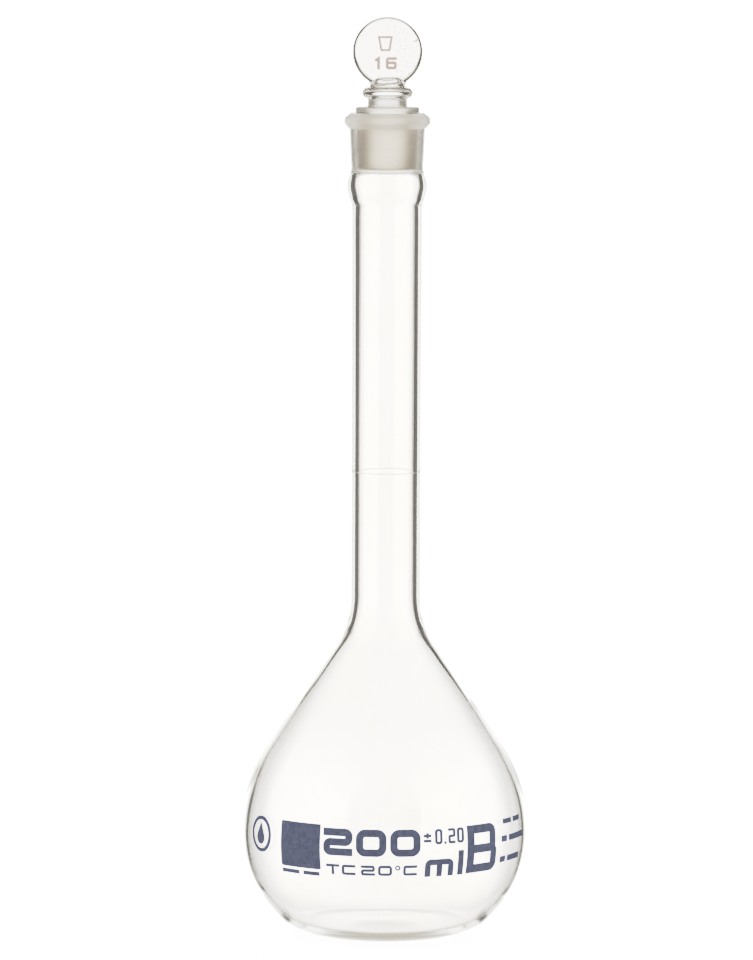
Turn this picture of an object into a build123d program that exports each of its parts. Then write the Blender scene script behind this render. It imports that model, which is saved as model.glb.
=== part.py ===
"""Volumetric flask for 200 ml with its ground glass stopper, in millimetres.

The flask is three borosilicate blanks flame-welded end to end (blown bulb, drawn neck tube, ground
socket), with an etched graduation ring round the neck and fired enamel marks on the bulb.  The
stopper is one solid pressing: ground taper plug, collar and flat round head.

Origin: centre of the base, on the surface that the flask stands on.  +Z runs up the neck, and the
enamel marks and the face of the stopper's head look along -Y.
"""

import os
from math import atan, cos, degrees, pi, radians, sin

from build123d import *

# ---------------------------------------------------------------- driving dimensions

CAPACITY = 200_000  # cubic millimetres held up to the graduation ring

# bulb, outside: base flat, heel arc, lower arc, shoulder arc, straight cone, throat arc, neck
BULB_RADIUS = 37.0
HEEL_RADIUS = 9.0
HEEL_TURN = 41.0  # degrees that the heel arc turns through
LOWER_RADIUS = 32.0
SHOULDER_RADIUS = 38.7
CONE_SLOPE = 34.4  # degrees between the straight cone and the vertical
THROAT_RADIUS = 22.6
PUSH_UP_RADIUS = 15.0  # the middle of the base is domed up, so the flask stands on a ring
PUSH_UP_RISE = 1.0

# bulb, inside: the wall is thin at the widest ring and thicker at the heel and base
BULB_WALL = 1.25
BASE_WALL = 1.4
INNER_HEEL_TURN = 44.0

# neck tube
NECK_RADIUS = 8.85
NECK_TOP_RADIUS = 8.97
NECK_BORE = 7.08
BULB_WELD_Z = 80.0
SOCKET_WELD_Z = 187.7

# ground socket, size 16: taper 1 in 10 on the diameter
RIM_Z = 211.5
RIM_RADIUS = 10.95
RIM_EDGE_RADIUS = 9.4
RIM_HEIGHT = 4.0
RIM_BAND = (2.6, 1.3)  # depths below the mouth of the two ends of the rim's upright edge
RIM_ROUNDING = 0.55
SOCKET_TOP_RADIUS = 9.66
SOCKET_FOOT_RADIUS = 9.2  # at the waist between the cone and the bulge
SOCKET_FOOT_Z = 197.15
GROUND_END_Z = 196.6  # lower end of the ground zone
BULGE_Z = 192.7
BULGE_RADIUS = 10.22
BULGE_BORE = 8.43
TAPER = 1 / 20  # change of radius per millimetre of height
GROUND_CLEARANCE = 0.06  # radial gap that the ground faces keep when the stopper is home

# stopper
PLUG_TOP_Z = 213.0
PLUG_TOP_RADIUS = 8.15
PLUG_BOTTOM_Z = 197.0
PLUG_ROUNDING = 0.5
LOWER_NECK_RADIUS = 4.95
COLLAR_Z = 216.7
COLLAR_RADIUS = 6.4
COLLAR_TOP_Z = 218.3
LOWER_NECK_TOP_Z = 214.2
UPPER_NECK_RADIUS = 4.5
UPPER_NECK_Z = 219.0
HEAD_RADIUS = 8.85
HEAD_Z = 227.2
HEAD_THICKNESS = 4.6
HEAD_EDGE_ROUNDING = 1.6
HEAD_ROOT_HEIGHT = 2.6  # the round neck becomes a flat oval in the head over this height
HEAD_ROOT_WIDTH = 11.7
HEAD_ROOT_DEPTH = 4.4

# graduation ring, etched round the neck
RING_WIDTH = 0.3
RING_DEPTH = 0.06

# enamel marks on the bulb: azimuths in degrees from -Y towards +X, heights above the base
ENAMEL = 0.1
MARK_REACH = 30.0  # the glyphs' planes stand at this radius, inside the glass
PATCH = (-35.9, 26.5)
PATCH_SIZE = (12.2, 11.5)
PATCH_ROUNDING = 0.4
FIGURE_Z = 28.15
FIGURE_AZIMUTHS = (-18.8, -5.3, 8.2)
FIGURE_SIZE = (7.7, 6.8)
FIGURE_LINE = 1.8
UNIT_M = (22.3, 21.5)
UNIT_M_SIZE = (7.7, 4.4)
UNIT_L = (31.7, 22.45)
UNIT_L_SIZE = (1.5, 6.3)
UNIT_LINE = 1.4
TOLERANCE_Z = 29.5
TOLERANCE_AZIMUTHS = (17.1, 21.8, 24.6, 27.5, 31.4)
TOLERANCE_SIZE = (1.95, 3.8)
TOLERANCE_LINE = 0.58
SIGN_SIZE = (1.9, 2.5)
LEGEND_Z = 21.1
LEGEND_AZIMUTHS = (-21.0, -14.4, -6.6, 0.2, 5.2, 10.2)
LEGEND_SIZE = (3.5, 2.6)
LEGEND_LINE = 0.6
DEGREE_RADIUS = 0.65
DEGREE_LINE = 0.3
CLASS_MARK = (42.5, 25.5)
CLASS_SIZE = (10.0, 12.2)
CLASS_LINE = 2.1
DROP_MARK = (-59.0, 27.6)
DROP_MARK_RADIUS = 4.6
DROP_MARK_LINE = 0.85
DROP_RADIUS = 1.7
DROP_TIP = 2.9  # height of the drop's tip over the middle of the mark
DROP_ARC = (150, 240)  # where the drop's round belly starts, and the angle that it covers

# rows of plain blocks: height above the base, block height, and each block's azimuths
BLOCK_ROWS = (
    (19.5, 0.9, ((-45.4, -36.8), (-34.4, -27.2))),
    (31.3, 1.2, ((55.5, 61.5), (63.5, 69.5))),
    (26.9, 1.5, ((54.0, 57.5), (59.5, 73.0))),
    (21.6, 1.5, ((53.5, 57.0), (59.0, 69.0))),
)

# marks on the stopper's head, from the middle of the head
HEAD_MARK = 0.08
SIZE_FIGURES = (-0.8, -2.9)
SIZE_FIGURE_SIZE = (2.8, 3.1)
SIZE_FIGURE_LINE = 0.7
SIZE_FIGURE_STEP = 1.74  # from the middle of the two figures to each
PLUG_PICTOGRAM = (-0.6, 2.1)
PLUG_PICTOGRAM_SIZE = (3.8, 3.8)
PLUG_PICTOGRAM_ANGLE = 80
PLUG_PICTOGRAM_LINE = 0.49

# glyph corners, in breadths of the stroke
STROKE_BEND = 0.55
ZERO_BEND = 1.3
ZERO_INNER_BEND = 0.35

NEAR = 0.01  # slack when corners are picked by place

os.makedirs("parts", exist_ok=True)


def finish(piece, name):
    """Name a finished piece and write it out under that name."""
    piece.part.label = name
    export_step(piece.part, f"parts/{name}.step")


# ---------------------------------------------------------------- outlines

EQUATOR_Z = HEEL_RADIUS * (1 - cos(radians(HEEL_TURN))) + LOWER_RADIUS * cos(radians(HEEL_TURN))
INNER_LOWER_RADIUS = LOWER_RADIUS - BULB_WALL
INNER_HEEL_RADIUS = (
    EQUATOR_Z - BASE_WALL - INNER_LOWER_RADIUS * cos(radians(INNER_HEEL_TURN))
) / (1 - cos(radians(INNER_HEEL_TURN)))


def vessel_outline(floor, equator, heel, turn, lower, shoulder, throat, neck, top):
    """Draw one glass surface from the axis at the base to the top of the neck; return its ends.

    floor is the height of the base ring and equator the radius of the widest ring; heel, lower,
    shoulder and throat are arc radii, turn is the heel's angle, and neck and top are the neck's
    radii where it leaves the throat and where it ends.
    """
    swing = 2 * atan(PUSH_UP_RISE / PUSH_UP_RADIUS)
    dome = PUSH_UP_RADIUS / sin(swing) / 2
    crown = JernArc((0, floor + PUSH_UP_RISE), (1, 0), dome, -degrees(swing))
    dish = JernArc(crown @ 1, crown % 1, dome, degrees(swing))
    ring_radius = equator - heel * sin(radians(turn)) - lower * (1 - sin(radians(turn)))
    ring = Line(dish @ 1, (ring_radius, floor))
    heel_arc = JernArc(ring @ 1, (1, 0), heel, turn)
    lower_arc = JernArc(heel_arc @ 1, heel_arc % 1, lower, 90 - turn)
    shoulder_arc = JernArc(lower_arc @ 1, lower_arc % 1, shoulder, CONE_SLOPE)
    slope = radians(CONE_SLOPE)
    cone_end = neck + throat * (1 - cos(slope))
    cone_length = ((shoulder_arc @ 1).X - cone_end) / sin(slope)
    cone = Line(shoulder_arc @ 1, (shoulder_arc @ 1) + (shoulder_arc % 1) * cone_length)
    throat_arc = JernArc(cone @ 1, cone % 1, throat, -CONE_SLOPE)
    tube = Line(throat_arc @ 1, (top, SOCKET_WELD_Z))
    return crown @ 0, throat_arc @ 1, tube @ 1


def outer_outline(growth=0.0):
    """Draw the outside of bulb and neck, moved outwards by growth."""
    return vessel_outline(
        -growth,
        BULB_RADIUS + growth,
        HEEL_RADIUS + growth,
        HEEL_TURN,
        LOWER_RADIUS + growth,
        SHOULDER_RADIUS + growth,
        THROAT_RADIUS - growth,
        NECK_RADIUS + growth,
        NECK_TOP_RADIUS + growth,
    )


def inner_outline():
    """Draw the inside of bulb and neck."""
    return vessel_outline(
        BASE_WALL,
        BULB_RADIUS - BULB_WALL,
        INNER_HEEL_RADIUS,
        INNER_HEEL_TURN,
        INNER_LOWER_RADIUS,
        SHOULDER_RADIUS - BULB_WALL,
        THROAT_RADIUS + BULB_WALL,
        NECK_BORE,
        NECK_BORE,
    )


# Solid of revolution inside the outer surface, and the space that holds the liquid.
with BuildPart() as envelope:
    with BuildSketch(Plane.XZ):
        with BuildLine():
            bottom, _, top = outer_outline()
            Polyline(top, (0, top.Y), bottom)
        make_face()
    revolve(axis=Axis.Z)

with BuildPart() as cavity:
    with BuildSketch(Plane.XZ):
        with BuildLine():
            bottom, bore_start, top = inner_outline()
            Polyline(top, (0, top.Y), bottom)
        make_face()
    revolve(axis=Axis.Z)

# The bore is straight round the ring, so the ring's height follows from the volume below it.
BORE_AREA = pi * NECK_BORE**2
RING_Z = SOCKET_WELD_Z - (cavity.part.volume - CAPACITY) / BORE_AREA
print(f"graduation ring at {RING_Z:.2f} mm, bore straight from {bore_start.Y:.2f} mm")

# ---------------------------------------------------------------- graduation ring

with BuildPart() as graduation_ring:
    with BuildSketch(Plane.XZ):
        with Locations((NECK_RADIUS - RING_DEPTH, RING_Z)):
            Rectangle(2 * RING_DEPTH, RING_WIDTH, align=(Align.MIN, Align.CENTER))
    revolve(axis=Axis.Z)

# ---------------------------------------------------------------- bulb and neck tube

with BuildPart() as bulb:
    add(envelope.part)
    add(cavity.part, mode=Mode.SUBTRACT)
    split(bisect_by=Plane.XY.offset(BULB_WELD_Z), keep=Keep.BOTTOM)

with BuildPart() as neck_tube:
    add(envelope.part)
    add(cavity.part, mode=Mode.SUBTRACT)
    add(graduation_ring.part, mode=Mode.SUBTRACT)
    split(bisect_by=Plane.XY.offset(BULB_WELD_Z), keep=Keep.TOP)

# ---------------------------------------------------------------- ground socket


def ground_radius(height):
    """Radius of the plug's ground taper at a height, with the stopper home."""
    return PLUG_TOP_RADIUS - (PLUG_TOP_Z - height) * TAPER


with BuildPart() as ground_socket:
    with BuildSketch(Plane.XZ) as socket_section:
        with BuildLine():
            mouth = (ground_radius(RIM_Z) + GROUND_CLEARANCE, RIM_Z)
            ground_end = (ground_radius(GROUND_END_Z) + GROUND_CLEARANCE, GROUND_END_Z)
            Line(mouth, ground_end)
            inner_bulge = Spline(
                ground_end,
                (BULGE_BORE, BULGE_Z),
                (NECK_BORE, SOCKET_WELD_Z),
                tangents=[(1, -1), (0, -1), (0, -1)],
            )
            weld_face = Line(inner_bulge @ 1, (NECK_TOP_RADIUS, SOCKET_WELD_Z))
            outer_bulge = Spline(
                weld_face @ 1,
                (BULGE_RADIUS, BULGE_Z),
                (SOCKET_FOOT_RADIUS, SOCKET_FOOT_Z),
                tangents=[(0, 1), (0, 1), (-1, 1)],
            )
            Polyline(
                outer_bulge @ 1,
                (SOCKET_TOP_RADIUS, RIM_Z - RIM_HEIGHT),
                (RIM_RADIUS, RIM_Z - RIM_BAND[0]),
                (RIM_RADIUS, RIM_Z - RIM_BAND[1]),
                (RIM_EDGE_RADIUS, RIM_Z),
                mouth,
            )
        make_face()
        rim_corners = socket_section.vertices().filter_by(lambda v: v.X > RIM_EDGE_RADIUS - NEAR)
        rim_corners = rim_corners.filter_by(lambda v: v.Y > RIM_Z - RIM_HEIGHT - NEAR)
        fillet(rim_corners, radius=RIM_ROUNDING)
    revolve(axis=Axis.Z)

# ---------------------------------------------------------------- stopper

with BuildPart() as plug:
    with BuildSketch(Plane.XZ) as plug_section:
        with BuildLine():
            side = Polyline(
                (0, PLUG_BOTTOM_Z),
                (ground_radius(PLUG_BOTTOM_Z), PLUG_BOTTOM_Z),
                (PLUG_TOP_RADIUS, PLUG_TOP_Z),
                (LOWER_NECK_RADIUS, PLUG_TOP_Z),
                (LOWER_NECK_RADIUS, LOWER_NECK_TOP_Z),
            )
            collar = Spline(
                side @ 1,
                (COLLAR_RADIUS, COLLAR_Z),
                (UPPER_NECK_RADIUS, COLLAR_TOP_Z),
                tangents=[(0, 1), (0, 1), (-1, 0.6)],
            )
            upper_neck = Line(collar @ 1, (UPPER_NECK_RADIUS, UPPER_NECK_Z))
            Polyline(upper_neck @ 1, (0, UPPER_NECK_Z), side @ 0)
        make_face()
        plug_corners = plug_section.vertices().filter_by(lambda v: v.X > COLLAR_RADIUS + NEAR)
        fillet(plug_corners, radius=PLUG_ROUNDING)
    revolve(axis=Axis.Z)
    # the round neck flattens and widens into the head
    with BuildSketch(Plane.XY.offset(UPPER_NECK_Z)):
        Circle(UPPER_NECK_RADIUS)
    with BuildSketch(Plane.XY.offset(UPPER_NECK_Z + HEAD_ROOT_HEIGHT)):
        Ellipse(HEAD_ROOT_WIDTH / 2, HEAD_ROOT_DEPTH / 2)
    loft()

with BuildPart() as head:
    with BuildSketch(Plane.XZ):
        with Locations((0, HEAD_Z)):
            Circle(HEAD_RADIUS)
    extrude(amount=HEAD_THICKNESS / 2, both=True)
    fillet(head.edges().filter_by(GeomType.CIRCLE), radius=HEAD_EDGE_ROUNDING)

with BuildPart() as stopper:
    add(plug.part)
    add(head.part)

# ---------------------------------------------------------------- figures and letters

# Every glyph is drawn upright about the origin of its own sketch, size = (width, height) over the
# outside of its strokes, which all have the same breadth, line.


def stroke(size, line, *corners, rounded=True):
    """A stroke through corners given as fractions of half the width and half the height."""
    half_width = (size[0] - line) / 2
    half_height = (size[1] - line) / 2
    points = [(x * half_width, y * half_height) for x, y in corners]
    with BuildLine() as path:
        if rounded:
            FilletPolyline(*points, radius=line * STROKE_BEND)
        else:
            Polyline(*points)
    trace(path.line, line_width=line)


def zero(size, line):
    """0: a rounded ring."""
    RectangleRounded(*size, radius=line * ZERO_BEND)
    hole = (size[0] - 2 * line, size[1] - 2 * line)
    RectangleRounded(*hole, radius=line * ZERO_INNER_BEND, mode=Mode.SUBTRACT)


def one(size, line):
    """1: a stem with a short flag."""
    foot = -1 - line / (size[1] - line)
    stroke(size, line, (0.2, foot), (0.2, 1), (-0.6, 0.55), rounded=False)


def two(size, line):
    """2: three bars joined on the right above and on the left below."""
    stop = 1 + line / (size[0] - line)
    stroke(size, line, (-stop, 1), (1, 1), (1, 0), (-1, 0), (-1, -1), (stop, -1))


def six(size, line):
    """6: a closed lower ring with an open top."""
    stop = 1 + line / (size[0] - line)
    stroke(size, line, (stop, 1), (-1, 1), (-1, -1), (1, -1), (1, 0.1), (0, 0.1))
    stroke(size, line, (0, 0.1), (-1, 0.1), rounded=False)


def letter_b(size, line):
    """B: two rings over each other, square on the left."""
    waist = line / (size[1] - line)
    stroke(size, line, (-1, 0), (0.9, 0), (0.9, 1), (-1, 1), rounded=True)
    stroke(size, line, (-1, 0), (1, 0), (1, -1), (-1, -1), rounded=True)
    stroke(size, line, (-1, -1 - waist), (-1, 1 + waist), rounded=False)


def letter_c(size, line):
    """C: a ring open on the right."""
    stop = 1 + line / (size[0] - line)
    stroke(size, line, (stop, 1), (-1, 1), (-1, -1), (stop, -1))


def letter_m(size, line):
    """m: an arch with a stem in the middle."""
    foot = -1 - line / (size[1] - line)
    stroke(size, line, (-1, foot), (-1, 1), (1, 1), (1, foot))
    stroke(size, line, (0, foot), (0, 1), rounded=False)


def letter_t(size, line):
    """T: a bar on a stem."""
    stop = 1 + line / (size[0] - line)
    foot = -1 - line / (size[1] - line)
    stroke(size, line, (-stop, 1), (stop, 1), rounded=False)
    stroke(size, line, (0, foot), (0, 1), rounded=False)


def plus_minus(size, line):
    """A plus sign over a bar."""
    stop = 1 + line / (size[0] - line)
    stroke(size, line, (-stop, 0.35), (stop, 0.35), rounded=False)
    stroke(size, line, (0, -0.35), (0, 1.05), rounded=False)
    stroke(size, line, (-stop, -1), (stop, -1), rounded=False)


def point(size, line):
    """A decimal point."""
    with Locations((0, (line - size[1]) / 2)):
        Rectangle(line, line)


def degree(size, line):
    """A small raised ring."""
    with Locations((0, size[1] / 2 - line)):
        Circle(DEGREE_RADIUS)
        Circle(DEGREE_RADIUS - DEGREE_LINE, mode=Mode.SUBTRACT)


# ---------------------------------------------------------------- enamel marks on the bulb

# A thin skin over the bulb, from which every mark is cut.
with BuildPart() as enamel_skin:
    with BuildSketch(Plane.XZ):
        with BuildLine():
            bottom, _, top = outer_outline(ENAMEL)
            Polyline(top, (0, top.Y), bottom)
        make_face()
    revolve(axis=Axis.Z)
    add(envelope.part, mode=Mode.SUBTRACT)


def mark_plane(azimuth, height):
    """The plane of a mark on the bulb: upright, looking outwards, its x to the reader's right."""
    turn = radians(azimuth)
    outward = Vector(sin(turn), -cos(turn), 0)
    return Plane(
        origin=outward * MARK_REACH + Vector(0, 0, height),
        x_dir=(cos(turn), sin(turn), 0),
        z_dir=outward,
    )


def fire_on():
    """Push the sketched marks out through the skin and keep what lies in it."""
    extrude(amount=BULB_RADIUS)
    add(enamel_skin.part, mode=Mode.INTERSECT)


with BuildPart() as writing_patch:
    with BuildSketch(mark_plane(*PATCH)):
        RectangleRounded(*PATCH_SIZE, radius=PATCH_ROUNDING)
    fire_on()

with BuildPart() as capacity_figures:
    for azimuth, glyph in zip(FIGURE_AZIMUTHS, (two, zero, zero)):
        with BuildSketch(mark_plane(azimuth, FIGURE_Z)):
            glyph(FIGURE_SIZE, FIGURE_LINE)
    fire_on()

with BuildPart() as unit_letters:
    with BuildSketch(mark_plane(*UNIT_M)):
        letter_m(UNIT_M_SIZE, UNIT_LINE)
    with BuildSketch(mark_plane(*UNIT_L)):
        Rectangle(*UNIT_L_SIZE)
    fire_on()

with BuildPart() as tolerance_figures:
    for azimuth, glyph in zip(TOLERANCE_AZIMUTHS, (plus_minus, zero, point, two, zero)):
        size = SIGN_SIZE if glyph is plus_minus else TOLERANCE_SIZE
        with BuildSketch(mark_plane(azimuth, TOLERANCE_Z)):
            glyph(size, TOLERANCE_LINE)
    fire_on()

with BuildPart() as temperature_legend:
    legend = (letter_t, letter_c, two, zero, degree, letter_c)
    for azimuth, glyph in zip(LEGEND_AZIMUTHS, legend):
        with BuildSketch(mark_plane(azimuth, LEGEND_Z)):
            glyph(LEGEND_SIZE, LEGEND_LINE)
    fire_on()

with BuildPart() as class_letter:
    with BuildSketch(mark_plane(*CLASS_MARK)):
        letter_b(CLASS_SIZE, CLASS_LINE)
    fire_on()

with BuildPart() as drop_pictogram:
    with BuildSketch(mark_plane(*DROP_MARK)):
        Circle(DROP_MARK_RADIUS)
        Circle(DROP_MARK_RADIUS - DROP_MARK_LINE, mode=Mode.SUBTRACT)
        with BuildLine():
            belly = CenterArc((0, -DROP_RADIUS / 2), DROP_RADIUS, *DROP_ARC)
            Polyline(belly @ 1, (0, DROP_TIP), belly @ 0)
        make_face()
    fire_on()

with BuildPart() as plain_blocks:
    for height, block_height, blocks in BLOCK_ROWS:
        for start, end in blocks:
            with BuildSketch(mark_plane((start + end) / 2, height)):
                Rectangle(BULB_RADIUS * radians(end - start), block_height)
    fire_on()

# ---------------------------------------------------------------- marks on the stopper's head


def head_plane(across, up):
    """The plane of a mark on the front face of the head, measured from the head's middle."""
    return Plane(
        origin=(across, -HEAD_THICKNESS / 2, HEAD_Z + up),
        x_dir=(1, 0, 0),
        z_dir=(0, -1, 0),
    )


with BuildPart() as stopper_size_mark:
    for step, glyph in ((-SIZE_FIGURE_STEP, one), (SIZE_FIGURE_STEP, six)):
        with BuildSketch(head_plane(SIZE_FIGURES[0] + step, SIZE_FIGURES[1])):
            glyph(SIZE_FIGURE_SIZE, SIZE_FIGURE_LINE)
    with BuildSketch(head_plane(*PLUG_PICTOGRAM)):
        Trapezoid(*PLUG_PICTOGRAM_SIZE, PLUG_PICTOGRAM_ANGLE, rotation=180)
        offset(amount=-PLUG_PICTOGRAM_LINE, mode=Mode.SUBTRACT)
    extrude(amount=HEAD_MARK)

# ---------------------------------------------------------------- files

finish(bulb, "bulb")
finish(neck_tube, "neck_tube")
finish(ground_socket, "ground_socket")
finish(graduation_ring, "graduation_ring")
finish(writing_patch, "writing_patch")
finish(capacity_figures, "capacity_figures")
finish(unit_letters, "unit_letters")
finish(tolerance_figures, "tolerance_figures")
finish(temperature_legend, "temperature_legend")
finish(class_letter, "class_letter")
finish(drop_pictogram, "drop_pictogram")
finish(plain_blocks, "plain_blocks")
finish(stopper, "stopper")
finish(stopper_size_mark, "stopper_size_mark")
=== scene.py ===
"""Looks of the volumetric flask: fire-polished glass, ground joint, fired enamel and a bright field.

Lengths in the tables below are millimetres; MM turns them into the frame's metres.
"""

import math

import bmesh
import bpy
import numpy as np
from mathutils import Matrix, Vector, noise


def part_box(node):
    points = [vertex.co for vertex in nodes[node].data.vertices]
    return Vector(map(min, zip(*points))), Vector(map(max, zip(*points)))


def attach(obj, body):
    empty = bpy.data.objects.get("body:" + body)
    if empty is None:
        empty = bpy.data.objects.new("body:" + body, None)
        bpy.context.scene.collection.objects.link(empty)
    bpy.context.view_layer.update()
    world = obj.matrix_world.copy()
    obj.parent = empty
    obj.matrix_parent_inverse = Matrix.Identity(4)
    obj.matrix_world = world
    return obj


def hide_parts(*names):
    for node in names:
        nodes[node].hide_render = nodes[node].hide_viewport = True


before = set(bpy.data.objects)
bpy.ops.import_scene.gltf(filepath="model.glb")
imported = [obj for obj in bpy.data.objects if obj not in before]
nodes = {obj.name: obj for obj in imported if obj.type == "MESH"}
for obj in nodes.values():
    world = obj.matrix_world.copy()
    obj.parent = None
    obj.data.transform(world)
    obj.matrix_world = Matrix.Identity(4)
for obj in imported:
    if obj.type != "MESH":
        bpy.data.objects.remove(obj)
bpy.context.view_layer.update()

MM = 0.001
TURNS = 360  # segments round a lathe-made piece

# ---------------------------------------------------------------- sizes from the frame

bulb_low, bulb_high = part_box("bulb")
socket_low, socket_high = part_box("ground_socket")
stopper_low, stopper_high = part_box("stopper")

BULB_RADIUS = (bulb_high.x - bulb_low.x) / 2 / MM
RIM_RADIUS = (socket_high.x - socket_low.x) / 2 / MM
HEAD_RADIUS = (stopper_high.x - stopper_low.x) / 2 / MM
SOCKET_FOOT_Z = socket_low.z / MM
RIM_Z = socket_high.z / MM
PLUG_FOOT_Z = stopper_low.z / MM
HEAD_TOP_Z = stopper_high.z / MM

# ---------------------------------------------------------------- outline of the flask

HEEL_RADIUS, HEEL_TURN = 9.0, 41.0
LOWER_RADIUS = 32.0
SHOULDER_RADIUS = 38.7
CONE_SLOPE = 34.4
THROAT_RADIUS = 22.6
PUSH_UP_RADIUS, PUSH_UP_RISE = 15.0, 0.7
NECK_RADIUS, NECK_TOP_RADIUS, NECK_BORE = 8.85, 8.97, 7.08
BULB_WALL, BASE_WALL, INNER_HEEL_TURN = 1.25, 1.1, 44.0
BULB_WELD_Z, INNER_WELD_Z = 78.5, 79.5


class Outline:
    """A path in the (radius, height) plane, drawn with straight runs and tangent arcs."""

    def __init__(self, radius, height, heading=0.0, step=0.35):
        self.points = [(radius, height)]
        self.heading = heading
        self.step = step

    def run(self, length):
        """Go straight on."""
        count = max(2, int(length / (4 * self.step)))
        radius, height = self.points[-1]
        for i in range(1, count + 1):
            go = length * i / count
            self.points.append(
                (radius + go * math.cos(self.heading), height + go * math.sin(self.heading))
            )
        return self

    def arc(self, bend, degrees):
        """Turn left by degrees, or right if they are negative, on a circle of radius bend."""
        turn = math.radians(degrees)
        side = math.copysign(1.0, turn)
        radius, height = self.points[-1]
        centre = (
            radius - side * bend * math.sin(self.heading),
            height + side * bend * math.cos(self.heading),
        )
        count = max(6, int(bend * abs(turn) / self.step))
        for i in range(1, count + 1):
            at = self.heading + turn * i / count
            self.points.append(
                (centre[0] + side * bend * math.sin(at), centre[1] - side * bend * math.cos(at))
            )
        self.heading += turn
        return self

    def curve(self, *stops):
        """Pass smoothly through stops, each (radius, height), to the last of them."""
        radius, height = self.points[-1]
        reach = math.dist(self.points[-1], stops[0]) / 2
        lead = (
            radius - reach * math.cos(self.heading),
            height - reach * math.sin(self.heading),
        )
        knots = [lead, self.points[-1], *stops]
        knots.append((2 * stops[-1][0] - knots[-2][0], 2 * stops[-1][1] - knots[-2][1]))
        for a, b, c, d in zip(knots, knots[1:], knots[2:], knots[3:]):
            count = max(4, int(math.dist(b, c) / self.step))
            for i in range(1, count + 1):
                self.points.append(spline_point(a, b, c, d, i / count))
        last, before = self.points[-1], self.points[-2]
        self.heading = math.atan2(last[1] - before[1], last[0] - before[0])
        return self


def spline_point(a, b, c, d, t):
    """A point between b and c of a centripetal spline through a, b, c and d."""
    ab, bc, cd = (math.sqrt(math.dist(p, q)) for p, q in ((a, b), (b, c), (c, d)))
    slope_b = [
        (c[k] - b[k]) - bc * ((c[k] - a[k]) / (ab + bc) - (b[k] - a[k]) / ab) for k in (0, 1)
    ]
    slope_c = [
        (c[k] - b[k]) + bc * ((d[k] - c[k]) / cd - (d[k] - b[k]) / (bc + cd)) for k in (0, 1)
    ]
    return tuple(
        (2 * t**3 - 3 * t**2 + 1) * b[k]
        + (t**3 - 2 * t**2 + t) * slope_b[k]
        + (3 * t**2 - 2 * t**3) * c[k]
        + (t**3 - t**2) * slope_c[k]
        for k in (0, 1)
    )


def vessel(floor, equator, heel, turn, lower, shoulder, throat, neck):
    """One glass surface of bulb and throat, from the axis at the base to the foot of the neck."""
    swing = 2 * math.atan(PUSH_UP_RISE / PUSH_UP_RADIUS)
    dome = PUSH_UP_RADIUS / math.sin(swing) / 2
    line = Outline(0.0, floor + PUSH_UP_RISE)
    line.arc(dome, -math.degrees(swing)).arc(dome, math.degrees(swing))
    sine = math.sin(math.radians(turn))
    line.run(equator - heel * sine - lower * (1 - sine) - line.points[-1][0])
    line.arc(heel, turn).arc(lower, 90 - turn).arc(shoulder, CONE_SLOPE)
    slope = math.radians(CONE_SLOPE)
    cone_end = neck + throat * (1 - math.cos(slope))
    line.run((line.points[-1][0] - cone_end) / math.sin(slope))
    return line.arc(throat, -CONE_SLOPE)


# ground joint and stopper
PLUG_TOP_Z, PLUG_TOP_RADIUS = 213.0, 8.15
TAPER = 1 / 20
GROUND_CLEARANCE = 0.06
GROUND_END_Z = 196.6
BULGE_Z, BULGE_RADIUS, BULGE_BORE = 192.8, 10.22, 8.43
SOCKET_WAIST, SOCKET_WALL_FOOT = (9.2, 197.3), (9.3, 199.4)
SOCKET_TOP_RADIUS, RIM_EDGE_RADIUS, RIM_ROUNDING = 9.66, 9.4, 0.55
RIM_HEIGHT = 4.0
RIM_BAND = (2.6, 1.3)  # depths below the mouth of the two ends of the rim's upright edge
LOWER_NECK_RADIUS, LOWER_NECK_Z, LOWER_NECK_REACH = 4.95, 213.5, 3.0
UPPER_NECK_RADIUS, UPPER_NECK_Z, UPPER_NECK_REACH = 4.5, 216.0, 3.9
UPPER_NECK_TILT, UPPER_NECK_ROUNDING = 0.04, 1.3
COLLAR_Z, COLLAR_RADIUS, COLLAR_CORE, COLLAR_REACH = 216.7, 6.4, 4.9, 1.4
HEAD_THICKNESS = 4.6
HEAD_Z = HEAD_TOP_Z - HEAD_RADIUS


def ground_radius(height):
    """Radius of the plug's ground taper with the stopper home."""
    return PLUG_TOP_RADIUS - (PLUG_TOP_Z - height) * TAPER


# ---------------------------------------------------------------- node helpers


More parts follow.
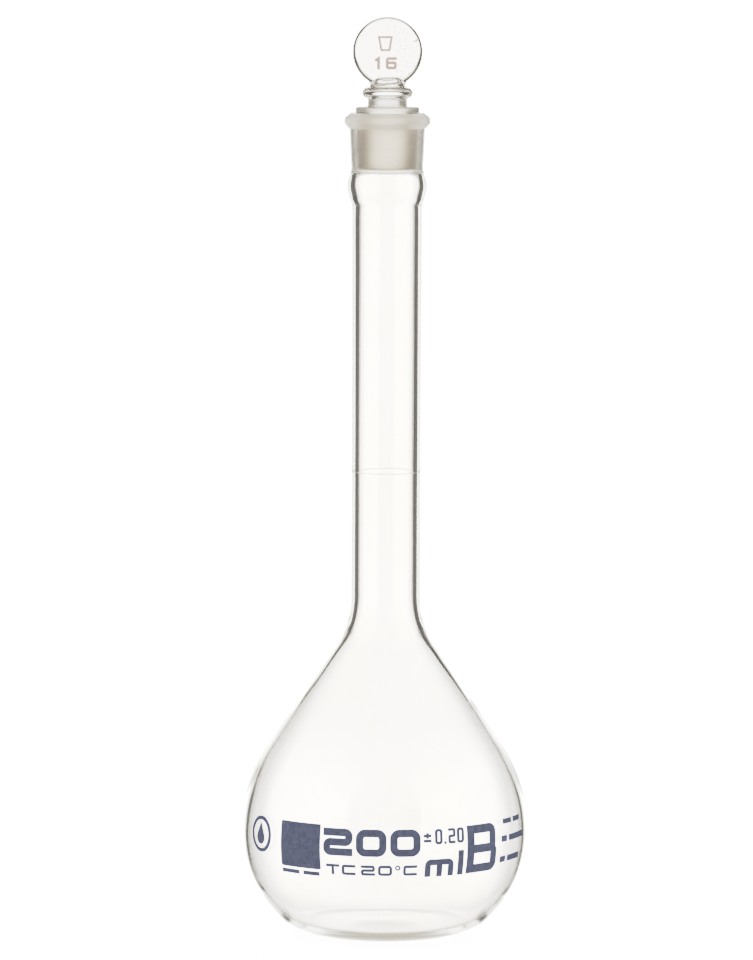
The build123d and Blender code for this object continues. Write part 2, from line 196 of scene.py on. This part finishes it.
class Shader:
    """A material's node tree, built through short calls."""

    def __init__(self, name):
        self.material = bpy.data.materials.new(name)
        self.material.use_nodes = True
        self.tree = self.material.node_tree
        self.surface = self.tree.nodes["Principled BSDF"]
        self.place = self.node("ShaderNodeTexCoord").outputs["Object"]

    def node(self, kind, **settings):
        made = self.tree.nodes.new(kind)
        for key, value in settings.items():
            if key in made.inputs:
                made.inputs[key].default_value = value
            else:
                setattr(made, key, value)
        return made

    def link(self, source, target):
        self.tree.links.new(source, target)

    def set(self, **values):
        """Set the surface's own sockets; underscores stand for spaces."""
        for key, value in values.items():
            self.surface.inputs[key.replace("_", " ")].default_value = value

    def noise(self, scale, detail=3.0, stretch=(1, 1, 1), roughness=0.5):
        """Fractal noise, scale in cells per millimetre, as a value from 0 to 1."""
        mapping = self.node("ShaderNodeMapping", Scale=stretch)
        self.link(self.place, mapping.inputs["Vector"])
        made = self.node("ShaderNodeTexNoise", Scale=scale / MM, Detail=detail)
        made.inputs["Roughness"].default_value = roughness
        self.link(mapping.outputs["Vector"], made.inputs["Vector"])
        return made.outputs["Fac"]

    def specks(self, spacing, size):
        """Scattered dots: 1 in a dot, 0 elsewhere; spacing and size in millimetres."""
        cells = self.node("ShaderNodeTexVoronoi", Scale=1 / (spacing * MM))
        self.link(self.place, cells.inputs["Vector"])
        return self.ramp(cells.outputs["Distance"], size / spacing, size / spacing * 0.5, 0.0, 1.0)

    def ramp(self, value, low, high, to_low, to_high):
        """Map value from low..high to to_low..to_high, clamped."""
        made = self.node("ShaderNodeMapRange")
        for socket, number in zip(made.inputs[1:5], (low, high, to_low, to_high)):
            socket.default_value = number
        self.link(value, made.inputs["Value"])
        return made.outputs["Result"]

    def colours(self, value, *stops):
        """Colour ramp on value; stops are (position, (r, g, b))."""
        made = self.node("ShaderNodeValToRGB")
        ramp = made.color_ramp
        while len(ramp.elements) < len(stops):
            ramp.elements.new(0.5)
        for element, (position, colour) in zip(ramp.elements, stops):
            element.position = position
            element.color = (*colour, 1.0)
        self.link(value, made.inputs["Fac"])
        return made.outputs["Color"]

    def blend(self, share, first, second):
        """Mix two colours by a value."""
        made = self.node("ShaderNodeMix", data_type="RGBA")
        self.link(share, made.inputs["Factor"])
        for socket, colour in ((made.inputs[6], first), (made.inputs[7], second)):
            if isinstance(colour, tuple):
                socket.default_value = (*colour, 1.0)
            else:
                self.link(colour, socket)
        return made.outputs[2]

    def bump(self, height, depth, sunk=False):
        """Add relief of the given depth in millimetres, raised or sunk."""
        made = self.node("ShaderNodeBump", Strength=1.0, Distance=depth * MM, invert=sunk)
        self.link(height, made.inputs["Height"])
        before = self.surface.inputs["Normal"].links
        if before:
            self.link(before[0].from_socket, made.inputs["Normal"])
        self.link(made.outputs["Normal"], self.surface.inputs["Normal"])

    def use(self, socket, value):
        self.link(value, self.surface.inputs[socket])


GLASS_IOR = 1.473


def clear_glass(name, tint=(0.984, 0.98, 0.973), pitted=False):
    """Fire-polished borosilicate: clear, faintly wavy, with a breath of handling film."""
    shader = Shader(name)
    shader.set(Transmission_Weight=1.0, IOR=GLASS_IOR)
    film = shader.noise(0.05, detail=4.0)
    shader.use("Roughness", shader.ramp(film, 0.45, 0.75, 0.0, 0.03))
    warm = tuple(c * w for c, w in zip(tint, (0.995, 0.99, 0.975)))
    shader.use("Base Color", shader.colours(shader.noise(0.03), (0.3, tint), (0.7, warm)))
    shader.bump(shader.noise(0.08, detail=1.0), 0.012)
    if pitted:
        across = shader.node("ShaderNodeSeparateXYZ")
        shader.link(shader.place, across.inputs["Vector"])
        share = shader.ramp(across.outputs["X"], -1.5 * MM, 4.0 * MM, 0.0, 1.0)
        pits = shader.node("ShaderNodeMath", operation="MULTIPLY")
        shader.link(shader.specks(0.8, 0.12), pits.inputs[0])
        shader.link(share, pits.inputs[1])
        shader.bump(pits.outputs["Value"], 0.12, sunk=True)
    return shader.material


def satin_glass(name, rough, tint=(0.965, 0.945, 0.915)):
    """Lightly frosted glass, as at a ground and flamed rim."""
    shader = Shader(name)
    shader.set(Transmission_Weight=0.9, IOR=GLASS_IOR)
    haze = shader.noise(0.6, detail=4.0)
    shader.use("Roughness", shader.ramp(haze, 0.3, 0.7, *rough))
    dull = tuple(c * 0.98 for c in tint)
    shader.use("Base Color", shader.colours(shader.noise(1.5), (0.35, dull), (0.65, tint)))
    shader.bump(shader.noise(3.0, detail=2.0), 0.0015)
    return shader.material


# painted shade: the ground glass's colour turns greyer below a given height
PAINTED_SHADE_FADE = 0.2  # half the height over which the ground glass turns greyer


def ground_glass(name, rough, tint=(0.958, 0.928, 0.88), painted_shade_below=None):
    """Finely ground glass: translucent, with grinding rings and fine grain.

    Below the given height the colour is greyer: painted shade where the socket is empty below the plug.
    """
    shader = Shader(name)
    shader.set(Transmission_Weight=0.96, IOR=GLASS_IOR)
    rings = shader.noise(2.2, detail=3.0, stretch=(0.03, 0.03, 1.0))
    grain = shader.noise(9.0, detail=4.0, roughness=0.7)
    worn = shader.noise(0.25, detail=3.0)
    shader.use("Roughness", shader.ramp(worn, 0.3, 0.7, *rough))
    dull = tuple(c * 0.96 for c in tint)
    colour = shader.colours(rings, (0.35, dull), (0.65, tint))
    if painted_shade_below:
        height = shader.node("ShaderNodeSeparateXYZ")
        shader.link(shader.place, height.inputs["Vector"])
        low, high = ((painted_shade_below + side * PAINTED_SHADE_FADE) * MM for side in (-1, 1))
        share = shader.ramp(height.outputs["Z"], low, high, 1.0, 0.0)
        # painted shade: a greyer colour below the plug's foot, where the socket is empty
        colour = shader.blend(share, colour, tuple(c * 0.8 for c in tint))
    shader.use("Base Color", colour)
    shader.bump(rings, 0.01)
    shader.bump(grain, 0.008)
    return shader.material


def enamel(name):
    """Fired blue-grey enamel: slightly mottled, pinholed and matt."""
    shader = Shader(name)
    mottle = shader.noise(0.9, detail=5.0, roughness=0.65)
    deep, body, pale = (0.107, 0.119, 0.175), (0.135, 0.149, 0.205), (0.178, 0.194, 0.25)
    base = shader.colours(mottle, (0.3, deep), (0.5, body), (0.75, pale))
    holes = shader.specks(0.75, 0.09)
    shader.use("Base Color", shader.blend(holes, base, (0.32, 0.33, 0.42)))
    shader.use("Roughness", shader.ramp(mottle, 0.3, 0.7, 0.32, 0.5))
    shader.set(Specular_IOR_Level=0.35)
    shader.bump(mottle, 0.02)
    shader.bump(holes, 0.03, sunk=True)
    return shader.material


def matt_print(name):
    """The stopper's pinkish grey figures: matt, thin and uneven."""
    shader = Shader(name)
    patchy = shader.noise(1.6, detail=4.0)
    shader.use(
        "Base Color", shader.colours(patchy, (0.3, (0.37, 0.32, 0.295)), (0.7, (0.46, 0.405, 0.38)))
    )
    shader.use("Roughness", shader.ramp(patchy, 0.3, 0.7, 0.6, 0.85))
    shader.set(Specular_IOR_Level=0.25)
    shader.bump(patchy, 0.02)
    return shader.material


# ---------------------------------------------------------------- mesh helpers


def piece(name, vertices, faces, materials):
    """A smooth-shaded mesh object in the scene; vertices in millimetres."""
    mesh = bpy.data.meshes.new(name)
    mesh.from_pydata([Vector(v) * MM for v in vertices], [], faces)
    mesh.update()
    for material in materials:
        mesh.materials.append(material)
    mesh.polygons.foreach_set("use_smooth", [True] * len(mesh.polygons))
    made = bpy.data.objects.new(name, mesh)
    bpy.context.scene.collection.objects.link(made)
    return made


ON_AXIS = 1e-6  # a smaller radius counts as a point on the axis


def lathe(name, profile, materials, displace=None, slot_of=None):
    """Turn a profile round Z into a closed mesh.

    profile is a list of (radius, height) that starts and ends on the axis, or a closed ring off it.
    displace(index, angle) gives a radial shift, and slot_of(index) the material of a band.
    """
    open_ring = profile[0][0] >= ON_AXIS
    vertices, rows = [], []
    for index, (radius, height) in enumerate(profile):
        if radius < ON_AXIS:
            rows.append([len(vertices)] * TURNS)
            vertices.append((0.0, 0.0, height))
            continue
        rows.append(range(len(vertices), len(vertices) + TURNS))
        for turn in range(TURNS):
            angle = 2 * math.pi * turn / TURNS
            at = radius + (displace(index, angle) if displace else 0.0)
            vertices.append((at * math.cos(angle), at * math.sin(angle), height))
    if open_ring:
        rows.append(rows[0])
    faces, slots = [], []
    for index, (row, following) in enumerate(zip(rows, rows[1:])):
        for turn in range(TURNS):
            after = (turn + 1) % TURNS
            corners = [row[turn], row[after], following[after], following[turn]]
            faces.append(list(dict.fromkeys(corners)))
            slots.append(slot_of(index) if slot_of else 0)
    made = piece(name, vertices, faces, materials)
    made.data.polygons.foreach_set("material_index", slots)
    return made


# ---------------------------------------------------------------- the flask's glass


def rounded(corners, bend, step=0.1):
    """A polyline whose inner corners are rounded to radius bend."""
    out = [corners[0]]
    for before, corner, after in zip(corners, corners[1:], corners[2:]):
        to_before = Vector(before) - Vector(corner)
        to_after = Vector(after) - Vector(corner)
        half = to_before.angle(to_after) / 2
        cut = min(bend / math.tan(half), to_before.length / 2, to_after.length / 2)
        start = Vector(corner) + to_before.normalized() * cut
        end = Vector(corner) + to_after.normalized() * cut
        count = max(3, int(2 * cut / step))
        for i in range(count + 1):
            t = i / count
            at = start * (1 - t) ** 2 + Vector(corner) * 2 * t * (1 - t) + end * t**2
            out.append(tuple(at))
    out.append(corners[-1])
    return out


def fade(value, low, high):
    """0 below low, 1 above high, and smooth between."""
    t = min(1.0, max(0.0, (value - low) / (high - low)))
    return t * t * (3 - 2 * t)


def divided(points, step):
    """The same polyline with no run longer than step."""
    out = [points[0]]
    for a, b in zip(points, points[1:]):
        count = max(1, math.ceil(math.dist(a, b) / step))
        out += [(a[0] + (b[0] - a[0]) * i / count, a[1] + (b[1] - a[1]) * i / count)
                for i in range(1, count + 1)]
    return out


inner_lower = LOWER_RADIUS - BULB_WALL
equator_z = HEEL_RADIUS * (1 - math.cos(math.radians(HEEL_TURN)))
equator_z += LOWER_RADIUS * math.cos(math.radians(HEEL_TURN))
inner_heel = (equator_z - BASE_WALL - inner_lower * math.cos(math.radians(INNER_HEEL_TURN))) / (
    1 - math.cos(math.radians(INNER_HEEL_TURN))
)

outer = vessel(
    0.0, BULB_RADIUS, HEEL_RADIUS, HEEL_TURN, LOWER_RADIUS, SHOULDER_RADIUS, THROAT_RADIUS, NECK_RADIUS
)
outer.points.append((NECK_TOP_RADIUS, SOCKET_FOOT_Z))
outer.heading = math.pi / 2
outer.curve(
    (NECK_TOP_RADIUS + 0.9, 190.4), (BULGE_RADIUS, BULGE_Z), (9.75, 195.2), SOCKET_WAIST, SOCKET_WALL_FOOT
)
MOUTH_DEPTH = 1.5  # of the ground face that the rim's own outline ends with
rim = rounded(
    [
        SOCKET_WALL_FOOT,
        (SOCKET_TOP_RADIUS, RIM_Z - RIM_HEIGHT),
        (RIM_RADIUS, RIM_Z - RIM_BAND[0]),
        (RIM_RADIUS, RIM_Z - RIM_BAND[1]),
        (RIM_EDGE_RADIUS, RIM_Z),
        (ground_radius(RIM_Z) + GROUND_CLEARANCE, RIM_Z),
        (ground_radius(RIM_Z - MOUTH_DEPTH) + GROUND_CLEARANCE, RIM_Z - MOUTH_DEPTH),
    ],
    RIM_ROUNDING,
)
ground_end = (ground_radius(GROUND_END_Z) + GROUND_CLEARANCE, GROUND_END_Z)
inner_top = Outline(*ground_end, heading=math.radians(-60))
inner_top.curve((8.0, 195.4), (BULGE_BORE, BULGE_Z), (7.85, 190.0), (NECK_BORE + 0.05, SOCKET_FOOT_Z))
inner = vessel(
    BASE_WALL,
    BULB_RADIUS - BULB_WALL,
    inner_heel,
    INNER_HEEL_TURN,
    inner_lower,
    SHOULDER_RADIUS - BULB_WALL,
    THROAT_RADIUS + BULB_WALL,
    NECK_BORE,
)

EASE_REACH = 3.0  # how far round a point its neighbours count
EASED_RADIUS, EASED_FADE = 28.0, 4.0  # the easing ends here, and fades over this
ease_offsets = np.linspace(-EASE_REACH, EASE_REACH, 9)
ease_weights = 1.05 - (ease_offsets / EASE_REACH) ** 2


def eased(points):
    """The outline with the corners of its base and heel eased, as hot glass settles."""
    widest = max(range(len(points)), key=lambda i: points[i][0])
    radii, heights = np.array(points[: widest + 1]).T
    out = list(points)
    for i, (radius, height) in enumerate(points[:widest]):
        share = fade(EASED_RADIUS - radius, 0, EASED_FADE)
        around = np.interp(np.abs(radius + ease_offsets), radii, heights)
        out[i] = (radius, height + share * (np.average(around, weights=ease_weights) - height))
    return out


LONGEST_RUN, LONGEST_GROUND_RUN = 3.0, 1.5
outside = divided(eased(outer.points) + rim[1:], LONGEST_RUN)
ground_zone = divided([rim[-1], ground_end], LONGEST_GROUND_RUN)[1:]
inside = divided(inner_top.points[1:] + eased(inner.points)[::-1], LONGEST_RUN)
profile = outside + ground_zone + inside
GROUND_BAND = range(len(outside) - 2, len(outside) + len(ground_zone) - 1)


# how much thinner (+) or thicker (-) the bulb's wall is: amount, height, reach up and down.
# It is thickest just above the widest ring, thinner at the heel and in the shoulder.
WALL_SWELLS = ((-0.52, 33, 14), (0.3, 11, 6), (0.28, 58, 8))
MARKED_AZIMUTH, MARKED_HEIGHTS = 88, (12, 40)  # the enamel lies within these


def swell(height, middle, reach):
    """A soft hump: 1 at the middle, and fading out within about twice the reach."""
    return math.exp(-(((height - middle) / reach) ** 2))


def wander(x, y, z, size, seed):
    """Smooth noise of about -1 to 1 that changes over size millimetres."""
    return noise.noise(Vector((x, y, z)) / size + Vector((seed, 3.7 * seed, 0.0)))


def glass_shift(index, angle):
    """Radial unevenness of hand-finished glass, in millimetres."""
    radius, height = profile[index]
    x, y = radius * math.cos(angle), radius * math.sin(angle)
    soft = fade(radius, 2.0, 8.0)
    if index < len(outside):
        # nothing at the widest ring, so that the flask keeps its size; a hair proud under the enamel
        azimuth = abs(math.degrees(math.atan2(x, -y)))
        low, high = MARKED_HEIGHTS
        under_marks = fade(MARKED_AZIMUTH - azimuth, 0, 12)
        under_marks *= fade(height, low, low + 4) * fade(high - height, 0, 4)
        weld = 0.10 * swell(height, BULB_WELD_Z, 1.6)
        weld += 0.03 * swell(height, SOCKET_FOOT_Z, 1.2)
        calm = fade(abs(height - equator_z), 3, 12) * fade(height, 0.6, 4.0)
        calm *= fade(195.0 - height, 0, 6)
        waves = 0.03 * wander(x, y, height, 16.0, 1.0) - 0.02
        return 0.02 * under_marks + soft * (weld + calm * waves)
    if index in GROUND_BAND or height > GROUND_END_Z - 1:
        return 0.0
    weld = -0.12 * swell(height, INNER_WELD_Z, 2.2)
    streaks = 0.03 * wander(x, y, height * 0.12, 4.5, 2.0)
    body = 0.05 * wander(x, y, height, 22.0, 3.0) * fade(60 - height, 0, 20)
    gather = sum(amount * swell(height, middle, reach) for amount, middle, reach in WALL_SWELLS)
    return soft * (weld + streaks + body + gather)


clear = clear_glass("clear_flask_glass")
# the socket's ground glass gets painted shade, a greyer colour, below the plug's foot
ground = ground_glass("ground_socket_glass", rough=(0.48, 0.56), painted_shade_below=PLUG_FOOT_Z)
satin = satin_glass("satin_rim_glass", rough=(0.34, 0.44))


def flask_zone(index):
    """Which of clear, ground and satin the band after a profile point takes."""
    if index in GROUND_BAND:
        return 1
    return 2 if index < len(outside) and profile[index][1] > RIM_Z - RIM_HEIGHT else 0


flask = lathe("flask_glass", profile, [clear, ground, satin], glass_shift, flask_zone)
flask.visible_diffuse = False
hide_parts("bulb", "neck_tube", "ground_socket")
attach(flask, "flask")

# ---------------------------------------------------------------- the stopper

PLUG_ROUNDING, HEAD_EDGE = 0.5, 1.7
NECK_FILLET, HEAD_FILLET = 0.5, 1.1
HEAD_FACE = HEAD_THICKNESS / 2 + 0.02  # the figures' backs are bedded in the face


def rounded_corner(across, along, bend):
    """Distance outside a corner whose two faces are at across = 0 and along = 0."""
    across, along = across + bend, along + bend
    outside_part = np.hypot(np.maximum(across, 0), np.maximum(along, 0))
    return np.minimum(np.maximum(across, along), 0) + outside_part - bend


def merge(first, second, reach):
    """Union of two distances, filleted over reach."""
    share = np.clip(0.5 + 0.5 * (second - first) / reach, 0, 1)
    return second + (first - second) * share - reach * share * (1 - share)


def stopper_distance(points):
    """Distance outside the stopper, for an array of points in millimetres."""
    x, y, z = points.T
    radius = np.hypot(x, y)
    plug_side = PLUG_TOP_RADIUS - (PLUG_TOP_Z - z) * TAPER
    middle = (PLUG_TOP_Z + PLUG_FOOT_Z) / 2
    plug = rounded_corner(radius - plug_side, np.abs(z - middle) - (PLUG_TOP_Z - middle), PLUG_ROUNDING)
    lower_neck = np.maximum(radius - LOWER_NECK_RADIUS, np.abs(z - LOWER_NECK_Z) - LOWER_NECK_REACH)
    from_middle = np.abs(z - UPPER_NECK_Z - UPPER_NECK_TILT * x)
    upper_neck = rounded_corner(
        radius - UPPER_NECK_RADIUS, from_middle - UPPER_NECK_REACH, UPPER_NECK_ROUNDING
    )
    ring = np.stack([radius - COLLAR_CORE, z - COLLAR_Z])
    axes = np.array([[COLLAR_RADIUS - COLLAR_CORE], [COLLAR_REACH]])
    ratio, slope = np.hypot(*(ring / axes)), np.hypot(*(ring / axes**2))
    collar = ratio * (ratio - 1) / np.maximum(slope, 1e-6)
    from_head = np.hypot(x, z - HEAD_Z)
    head = rounded_corner(from_head - HEAD_RADIUS, np.abs(y) - HEAD_FACE, HEAD_EDGE)
    shape = merge(merge(plug, lower_neck, NECK_FILLET), collar, NECK_FILLET)
    return merge(merge(shape, upper_neck, NECK_FILLET), head, HEAD_FILLET)


def slopes(points, step=1e-3):
    """Gradient of the stopper's distance."""
    sides = [np.eye(3)[i] * step for i in range(3)]
    return np.stack(
        [(stopper_distance(points + s) - stopper_distance(points - s)) / (2 * step) for s in sides], 1
    )


def blank(radius, low, high, axis="Z", centre=0.0):
    """A rough cylinder, to be remeshed."""
    bm = bmesh.new()
    bmesh.ops.create_cone(
        bm, cap_ends=True, segments=96, radius1=radius, radius2=radius, depth=high - low
    )
    for v in bm.verts:
        v.co.z += (low + high) / 2
        if axis == "Y":
            v.co = Vector((v.co.x, v.co.z, v.co.y + centre))
    if axis == "Y":
        bmesh.ops.reverse_faces(bm, faces=bm.faces)
    verts = [tuple(v.co) for v in bm.verts]
    faces = [[v.index for v in f.verts] for f in bm.faces]
    bm.free()
    return verts, faces


def make_stopper():
    """Voxel mesh of rough cylinders, drawn onto the smooth shape."""
    verts, faces = [], []
    for radius, low, high, axis, centre in (
        (7.9, PLUG_FOOT_Z, PLUG_TOP_Z, "Z", 0.0),
        (LOWER_NECK_RADIUS, PLUG_TOP_Z - 1, COLLAR_Z, "Z", 0.0),
        (COLLAR_RADIUS - 0.2, COLLAR_Z - 1.1, COLLAR_Z + 1.1, "Z", 0.0),
        (UPPER_NECK_RADIUS, COLLAR_Z, 220.2, "Z", 0.0),
        (HEAD_RADIUS - 0.1, -HEAD_FACE, HEAD_FACE, "Y", HEAD_Z),
    ):
        more, rings = blank(radius, low, high, axis, centre)
        faces += [[i + len(verts) for i in ring] for ring in rings]
        verts += more
    made = piece("stopper_glass", verts, faces, [])
    remesh = made.modifiers.new("voxels", "REMESH")
    remesh.mode = "VOXEL"
    remesh.voxel_size = 0.24 * MM
    remesh.use_smooth_shade = True
    evaluated = made.evaluated_get(bpy.context.evaluated_depsgraph_get())
    mesh = bpy.data.meshes.new_from_object(evaluated)
    made.modifiers.clear()
    made.data = mesh
    mesh.name = "stopper_glass"
    points = np.empty(len(mesh.vertices) * 3)
    mesh.vertices.foreach_get("co", points)
    points = points.reshape(-1, 3) / MM
    for _ in range(8):
        away = slopes(points)
        steep = np.maximum((away**2).sum(1), 0.05)
        points -= np.clip(stopper_distance(points) / steep, -0.5, 0.5)[:, None] * away
    mesh.vertices.foreach_set("co", (points * MM).ravel())
    mesh.update()
    return made


stopper = make_stopper()
mesh = stopper.data
stopper_clear = clear_glass("clear_stopper_glass", (0.905, 0.896, 0.882), pitted=True)
stopper_ground = ground_glass("ground_stopper_glass", rough=(0.2, 0.28))
for material in (stopper_clear, stopper_ground, satin):
    mesh.materials.append(material)

GROUND_TOP_Z = PLUG_TOP_Z - 1.3
FROSTED_TOP_Z = COLLAR_Z - 1.5  # the plug's top edge, its top and the lower neck are frosted
PLUG_END_Z = PLUG_FOOT_Z + 0.6
PLUG_SIDE_RADIUS = 7.2


def stopper_zone(face):
    """Which of clear, ground and frosted a face of the stopper takes."""
    middle = face.center / MM
    on_side = abs(face.normal.z) < 0.5 and math.hypot(middle.x, middle.y) > PLUG_SIDE_RADIUS
    if middle.z < PLUG_END_Z or on_side and middle.z < GROUND_TOP_Z:
        return 1
    return 2 if GROUND_TOP_Z <= middle.z < FROSTED_TOP_Z else 0


for face in mesh.polygons:
    face.use_smooth = True
    face.material_index = stopper_zone(face)
coordinates = np.empty(len(mesh.vertices) * 3)
mesh.vertices.foreach_get("co", coordinates)
normals = slopes(coordinates.reshape(-1, 3) / MM)
normals /= np.linalg.norm(normals, axis=1)[:, None]
mesh.normals_split_custom_set_from_vertices(normals)
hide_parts("stopper")
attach(stopper, "stopper")

# ---------------------------------------------------------------- marks

enamel_mark, head_mark = enamel("fired_enamel"), matt_print("stopper_figures")
for name in (
    "writing_patch",
    "capacity_figures",
    "unit_letters",
    "tolerance_figures",
    "temperature_legend",
    "class_letter",
    "drop_pictogram",
    "plain_blocks",
):
    for holder in nodes[name].material_slots:
        holder.material = enamel_mark
for holder in nodes["stopper_size_mark"].material_slots:
    holder.material = head_mark

etched = Shader("etched_ring")
etched.set(Transmission_Weight=0.97, IOR=GLASS_IOR, Roughness=0.16)
frost = etched.noise(6.0, detail=4.0)
etched.use("Base Color", etched.colours(frost, (0.3, (0.9, 0.9, 0.89)), (0.7, (0.98, 0.98, 0.97))))
etched.bump(frost, 0.004)
for holder in nodes["graduation_ring"].material_slots:
    holder.material = etched.material

# ---------------------------------------------------------------- room, light and camera


def plane(name, corners, material):
    """A flat staged sheet; corners in metres."""
    mesh = bpy.data.meshes.new(name)
    mesh.from_pydata(corners, [], [tuple(range(len(corners)))])
    mesh.materials.append(material)
    made = bpy.data.objects.new(name, mesh)
    bpy.context.scene.collection.objects.link(made)
    return made


def flat_material(name, grey, glow=False):
    """A plain matt or glowing grey for staged sheets."""
    shader = Shader(name)
    if glow:
        shader.set(Base_Color=(0, 0, 0, 1), Emission_Color=(grey, grey, grey, 1))
        shader.set(Emission_Strength=1.0, Specular_IOR_Level=0.0)
    else:
        shader.set(Base_Color=(grey, grey, grey, 1), Roughness=0.9, Specular_IOR_Level=0.0)
    return shader.material


CAMERA_DISTANCE, CAMERA_ELEVATION, CAMERA_ROLL = 1.3055, 5.2, 0.22
AIM = Vector((0.0, 0.0, 0.1205))
WIDTH, HEIGHT = 753, 960
AIM_PIXEL = (386.1, 466.25)
PIXEL_SIZE = 0.0002583  # metres across one pixel at the flask's axis
SENSOR = 36.0

camera_data = bpy.data.cameras.new("camera")
camera_data.sensor_width = SENSOR
camera_data.lens = SENSOR * CAMERA_DISTANCE / (HEIGHT * PIXEL_SIZE)
camera_data.shift_x = (WIDTH / 2 - AIM_PIXEL[0]) / HEIGHT
camera_data.shift_y = (AIM_PIXEL[1] - HEIGHT / 2) / HEIGHT
camera_data.clip_end = 100.0
camera = bpy.data.objects.new("camera", camera_data)
bpy.context.scene.collection.objects.link(camera)
tilt = math.radians(CAMERA_ELEVATION)
camera.location = AIM + CAMERA_DISTANCE * Vector((0, -math.cos(tilt), math.sin(tilt)))
camera.rotation_euler = (AIM - camera.location).to_track_quat("-Z", "Y").to_euler()
camera.rotation_euler.rotate_axis("Z", math.radians(CAMERA_ROLL))
bpy.context.scene.camera = camera

FLOOR_REACH = 60.0
floor_corners = [(x * FLOOR_REACH, y * FLOOR_REACH, 0) for x, y in ((-1, -1), (1, -1), (1, 1), (-1, 1))]
floor = plane("floor", floor_corners, flat_material("floor", 0.98))
floor.visible_glossy = False
floor.visible_transmission = False

world = bpy.data.worlds.new("white_room")
world.use_nodes = True
background = world.node_tree.nodes["Background"]
background.inputs["Color"].default_value = (1.0, 1.0, 1.0, 1.0)
background.inputs["Strength"].default_value = 1.05
bpy.context.scene.world = world


def warm_grey(tone):
    """A grey that is warmer the darker it is."""
    return tone, tone * (1 - 0.05 * (1 - tone)), tone * (1 - 0.16 * (1 - tone))


FIELD_FLATNESS = 1.6  # the bright field is wider than it is high


def field_material(name, beside, above, below):
    """Glow of a bright field with dark surrounds, the same on every card round the view.

    Each of beside, above and below is a list of (angle, brightness). The angle is off the line of
    sight, seen from the flask, with heights stretched by FIELD_FLATNESS.
    """
    shader = Shader(name)

    def vector(operation, source, value=None):
        made = shader.node("ShaderNodeVectorMath", operation=operation)
        shader.link(source, made.inputs[0])
        if value:
            made.inputs[1].default_value = value
        return made.outputs["Vector"]

    def part(source, axis):
        made = shader.node("ShaderNodeSeparateXYZ")
        shader.link(source, made.inputs["Vector"])
        return made.outputs[axis]

    from_flask = vector("ADD", shader.place, (0, 0, CAMERA_DISTANCE))
    stretched = vector("NORMALIZE", vector("MULTIPLY", from_flask, (1, FIELD_FLATNESS, 1)))
    turned = shader.ramp(part(stretched, "Z"), -1.0, 1.0, 0.0, 1.0)
    across = part(vector("NORMALIZE", vector("MULTIPLY", from_flask, (1, 1, 0))), "Y")
    tones = [
        shader.colours(
            turned, *[((1 - math.cos(math.radians(angle))) / 2, warm_grey(tone)) for angle, tone in side]
        )
        for side in (beside, above, below)
    ]
    glow = shader.blend(shader.ramp(across, 0.5, 0.95, 0.0, 1.0), tones[0], tones[1])
    glow = shader.blend(shader.ramp(across, -0.5, -0.95, 0.0, 1.0), glow, tones[2])
    shader.set(Base_Color=(0, 0, 0, 1), Emission_Strength=1.0, Specular_IOR_Level=0.0)
    shader.use("Emission Color", glow)
    return shader.material


# A tunnel of cards round the view draws the glass's edges.
TUNNEL_REACH = 3.0  # from the line of sight to each side
TUNNEL_FAR, TUNNEL_NEAR = -12.0, 4.0  # along the line of sight, with the camera at 0
BACK_GREY = 0.55


def tunnel_card(name, start, end, material):
    """A card along the tunnel over the line from start to end across it."""
    (ax, ay), (bx, by) = start, end
    corners = [(ax, ay, TUNNEL_FAR), (bx, by, TUNNEL_FAR), (bx, by, TUNNEL_NEAR), (ax, ay, TUNNEL_NEAR)]
    return plane(name, corners, material)


field = field_material(
    "bright_field",
    beside=[(23.5, 1.0), (28.5, 0.25), (34, 0.12), (48, 0.12), (58, 0.5), (70, 0.85), (115, 0.85)],
    above=[(30, 1.0), (41, 0.35), (47, 0.2), (70, 0.2), (87, 0.5)],
    below=[(26, 1.0), (42, 0.5), (53, 0.42), (77, 0.42), (96, 0.5), (122, 0.65)],
)
left_low, right_low, right_top, left_top = (
    (x * TUNNEL_REACH, y * TUNNEL_REACH) for x, y in ((-1, -1), (1, -1), (1, 1), (-1, 1))
)
cards = [
    tunnel_card("left_card", left_low, left_top, field),
    tunnel_card("right_card", right_low, right_top, field),
    tunnel_card("top_card", left_top, right_top, field),
    tunnel_card("low_card", left_low, right_low, field),
    plane(
        "back_card",
        [(*corner, TUNNEL_NEAR) for corner in (left_low, right_low, right_top, left_top)],
        flat_material("back_card", BACK_GREY, True),
    ),
]
for card in cards:
    card.parent = camera
    card.visible_camera = False
    card.visible_diffuse = False
    card.visible_shadow = False

# a photographic tone curve: more contrast in the middle greys, in scene brightness
TONE_CURVE = ((0.2, 0.165), (0.5, 0.66), (0.9, 0.922))
view = bpy.context.scene.view_settings
view.view_transform = "Standard"
view.use_curve_mapping = True
for brightness, shown in TONE_CURVE:
    view.curve_mapping.curves[3].points.new(brightness, shown)
view.curve_mapping.update()

# light that is piped inside the base and the collar turns many corners before it leaves
paths = bpy.context.scene.cycles
paths.max_bounces, paths.transmission_bounces, paths.glossy_bounces = 96, 48, 80
